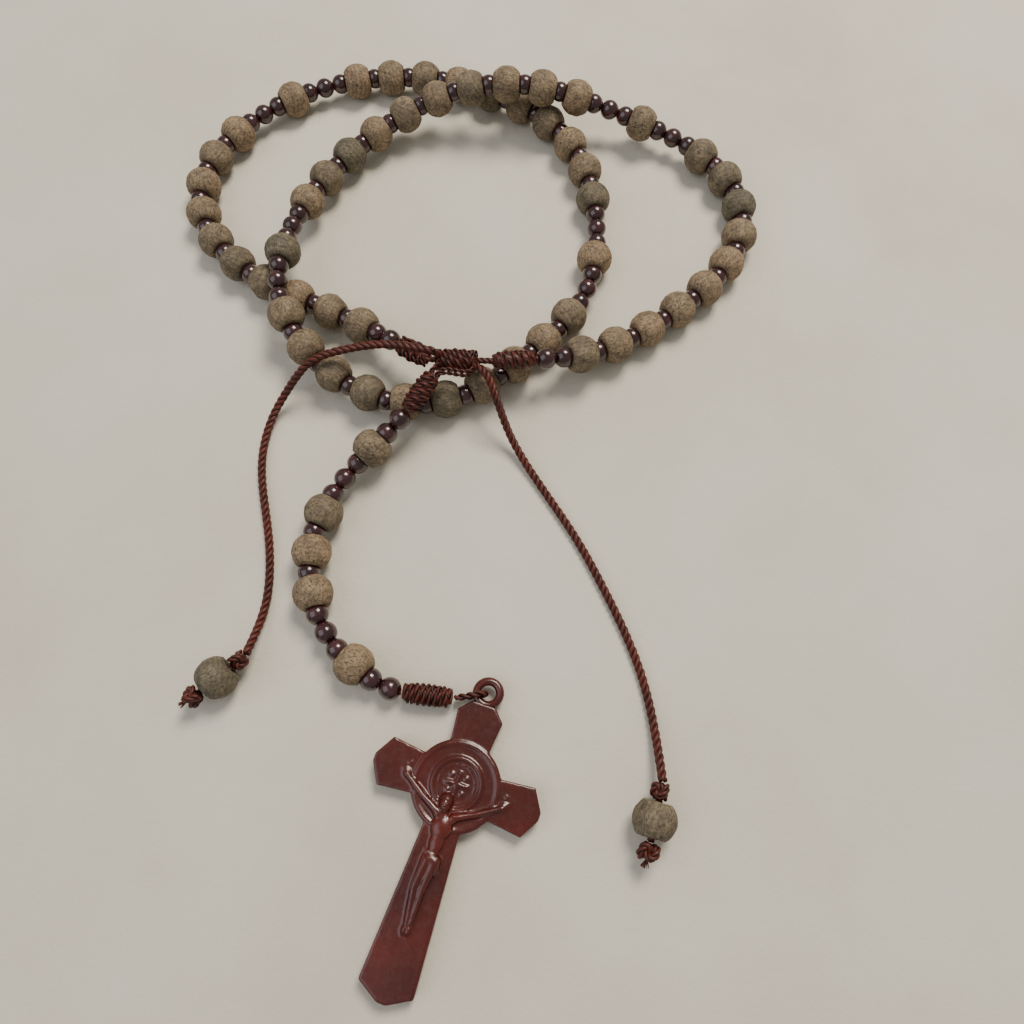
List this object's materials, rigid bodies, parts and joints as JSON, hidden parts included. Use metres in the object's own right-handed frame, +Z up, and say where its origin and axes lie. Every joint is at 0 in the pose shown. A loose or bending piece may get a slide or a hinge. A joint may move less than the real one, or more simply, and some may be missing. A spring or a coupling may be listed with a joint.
{
  "type": "rosary",
  "caption": "Cord rosary with wooden beads, glossy spacer beads, a sliding knot closure with two tails, a beaded pendant and a moulded resin crucifix.",
  "frame": {"origin": "On the surface that the rosary lies on, at the centre of its footprint without the two tails.", "axes": "+Z up. -Y runs from the necklace towards the crucifix's foot. +X to the right, seen from above with the crucifix at the bottom."},
  "size_m": [0.1331, 0.205, 0.0162],
  "materials": {
    "wood": "bare turned wood, weathered grey-brown, matt",
    "spacer_resin": "glossy dark maroon resin",
    "cord": "twisted waxed polyester cord, reddish brown",
    "crucifix_resin": "translucent amber-red moulded resin, semi-gloss"
  },
  "bodies": {
    "necklace": {"decade_1_beads": "wood", "decade_2_beads": "wood", "decade_3_beads": "wood", "decade_4_beads": "wood", "decade_5_beads": "wood", "decade_1_spacers": "spacer_resin", "decade_2_spacers": "spacer_resin", "decade_3_spacers": "spacer_resin", "decade_4_spacers": "spacer_resin", "decade_5_spacers": "spacer_resin", "our_father_1_spacers_before": "spacer_resin", "our_father_2_spacers_before": "spacer_resin", "our_father_3_spacers_before": "spacer_resin", "our_father_4_spacers_before": "spacer_resin", "our_father_1_spacers_after": "spacer_resin", "our_father_2_spacers_after": "spacer_resin", "our_father_3_spacers_after": "spacer_resin", "our_father_4_spacers_after": "spacer_resin", "first_spacers": "spacer_resin", "last_spacers": "spacer_resin", "necklace_cord": "cord", "left_knot": "cord", "right_knot": "cord", "closure_cord": "cord"},
    "our_father_bead_1": {"our_father_bead_1": "wood"},
    "our_father_bead_2": {"our_father_bead_2": "wood"},
    "our_father_bead_3": {"our_father_bead_3": "wood"},
    "our_father_bead_4": {"our_father_bead_4": "wood"},
    "slider": {"sliding_knot": "cord", "pendant_legs": "cord"},
    "tail_left": {"tail_left_cord": "cord", "tail_left_stop_knot": "cord", "tail_left_end_knot": "cord"},
    "tail_left_bead": {"tail_left_bead": "wood"},
    "tail_right": {"tail_right_cord": "cord", "tail_right_stop_knot": "cord", "tail_right_end_knot": "cord"},
    "tail_right_bead": {"tail_right_bead": "wood"},
    "pendant_link_1": {"pendant_spacers_1": "spacer_resin", "pendant_cord_1": "cord", "upper_knot": "cord"},
    "pendant_link_2": {"pendant_spacers_2": "spacer_resin", "pendant_cord_2": "cord"},
    "pendant_link_3": {"pendant_spacers_3": "spacer_resin", "pendant_cord_3": "cord"},
    "pendant_link_4": {"pendant_spacers_4": "spacer_resin", "pendant_cord_4": "cord"},
    "pendant_link_5": {"pendant_spacers_5": "spacer_resin", "pendant_cord_5": "cord"},
    "pendant_link_6": {"pendant_spacers_6": "spacer_resin", "pendant_cord_6": "cord", "lower_knot": "cord"},
    "pendant_bead_1": {"pendant_bead_1": "wood"},
    "pendant_bead_2": {"pendant_bead_2": "wood"},
    "pendant_bead_3": {"pendant_bead_3": "wood"},
    "pendant_bead_4": {"pendant_bead_4": "wood"},
    "pendant_bead_5": {"pendant_bead_5": "wood"},
    "crucifix_loop": {"crucifix_loop": "cord"},
    "crucifix": {"crucifix": "crucifix_resin"}
  },
  "joints": [
    {"name": "our_father_1_spin", "type": "hinge", "parent": "necklace", "child": "our_father_bead_1", "pos_m": [-0.04472, 0.09067, 0.004], "axis": [0.8613, 0.508, 0], "continuous": true},
    {"name": "our_father_2_spin", "type": "hinge", "parent": "necklace", "child": "our_father_bead_2", "pos_m": [0.02763, 0.04395, 0.004], "axis": [-0.152, -0.9884, 0], "continuous": true},
    {"name": "our_father_3_spin", "type": "hinge", "parent": "necklace", "child": "our_father_bead_3", "pos_m": [-0.04149, 0.04245, 0.00855], "axis": [0.0737, 0.9819, -0.1742], "continuous": true},
    {"name": "our_father_4_spin", "type": "hinge", "parent": "necklace", "child": "our_father_bead_4", "pos_m": [0.04005, 0.08123, 0.00588], "axis": [0.9233, -0.3449, -0.1693], "continuous": true},
    {"name": "closure_slide", "type": "slide", "parent": "necklace", "child": "slider", "axis": [0.9941, -0.0765, 0.0765], "range_m": [0, 0.0012]},
    {"name": "tail_left_swing", "type": "hinge", "parent": "slider", "child": "tail_left", "pos_m": [-0.00677, 0.01482, 0.01284], "axis": [0, 0, 1], "range_deg": [0, 4]},
    {"name": "tail_left_bead_spin", "type": "hinge", "parent": "tail_left", "child": "tail_left_bead", "pos_m": [-0.04628, -0.04948, 0.004], "axis": [-0.7507, -0.6606, 0], "continuous": true},
    {"name": "tail_right_swing", "type": "hinge", "parent": "slider", "child": "tail_right", "pos_m": [0.00243, 0.01242, 0.01029], "axis": [0, 0, 1], "range_deg": [-4, 4]},
    {"name": "tail_right_bead_spin", "type": "hinge", "parent": "tail_right", "child": "tail_right_bead", "pos_m": [0.0342, -0.07421, 0.004], "axis": [-0.2707, -0.9627, 0], "continuous": true},
    {"name": "pendant_swing", "type": "hinge", "parent": "slider", "child": "pendant_link_1", "pos_m": [-0.00677, 0.01023, 0.01188], "axis": [0, 0, 1], "range_deg": [0, 4]},
    {"name": "pendant_bend_1", "type": "hinge", "parent": "pendant_link_1", "child": "pendant_link_2", "pos_m": [-0.01665, -0.00058, 0.00649], "axis": [0, 0, 1], "range_deg": [-2, 4]},
    {"name": "pendant_bend_2", "type": "hinge", "parent": "pendant_link_2", "child": "pendant_link_3", "pos_m": [-0.02724, -0.01296, 0.00404], "axis": [0, 0, 1], "range_deg": [-4, 3]},
    {"name": "pendant_bend_3", "type": "hinge", "parent": "pendant_link_3", "child": "pendant_link_4", "pos_m": [-0.03036, -0.02085, 0.004], "axis": [0, 0, 1], "range_deg": [-4, 3]},
    {"name": "pendant_bend_4", "type": "hinge", "parent": "pendant_link_4", "child": "pendant_link_5", "pos_m": [-0.03072, -0.02931, 0.004], "axis": [0, 0, 1], "range_deg": [-6, 3]},
    {"name": "pendant_bend_5", "type": "hinge", "parent": "pendant_link_5", "child": "pendant_link_6", "pos_m": [-0.02405, -0.04428, 0.00392], "axis": [0, 0, 1], "range_deg": [-8, 3]},
    {"name": "pendant_bead_1_spin", "type": "hinge", "parent": "pendant_link_2", "child": "pendant_bead_1", "pos_m": [-0.01959, -0.0035, 0.00556], "axis": [-0.6916, -0.6881, -0.2194], "continuous": true},
    {"name": "pendant_bead_2_spin", "type": "hinge", "parent": "pendant_link_3", "child": "pendant_bead_2", "pos_m": [-0.0288, -0.0169, 0.00402], "axis": [-0.3687, -0.9295, -0.0045], "continuous": true},
    {"name": "pendant_bead_3_spin", "type": "hinge", "parent": "pendant_link_4", "child": "pendant_bead_3", "pos_m": [-0.03054, -0.02508, 0.004], "axis": [-0.0419, -0.9991, 0], "continuous": true},
    {"name": "pendant_bead_4_spin", "type": "hinge", "parent": "pendant_link_5", "child": "pendant_bead_4", "pos_m": [-0.02955, -0.03339, 0.004], "axis": [0.2762, -0.9611, -0.0003], "continuous": true},
    {"name": "pendant_bead_5_spin", "type": "hinge", "parent": "pendant_link_6", "child": "pendant_bead_5", "pos_m": [-0.0208, -0.04698, 0.00362], "axis": [0.7675, -0.6372, -0.07], "continuous": true},
    {"name": "crucifix_lift", "type": "hinge", "parent": "pendant_link_6", "child": "crucifix_loop", "pos_m": [-0.00188, -0.05305, 0.0022], "axis": [-0.1082, -0.9941, 0], "range_deg": [0, 30]},
    {"name": "crucifix_turn", "type": "hinge", "parent": "crucifix_loop", "child": "crucifix", "pos_m": [0.00456, -0.05217, 0.0022], "axis": [0, 0, -1], "range_deg": [-50, 0]}
  ]
}
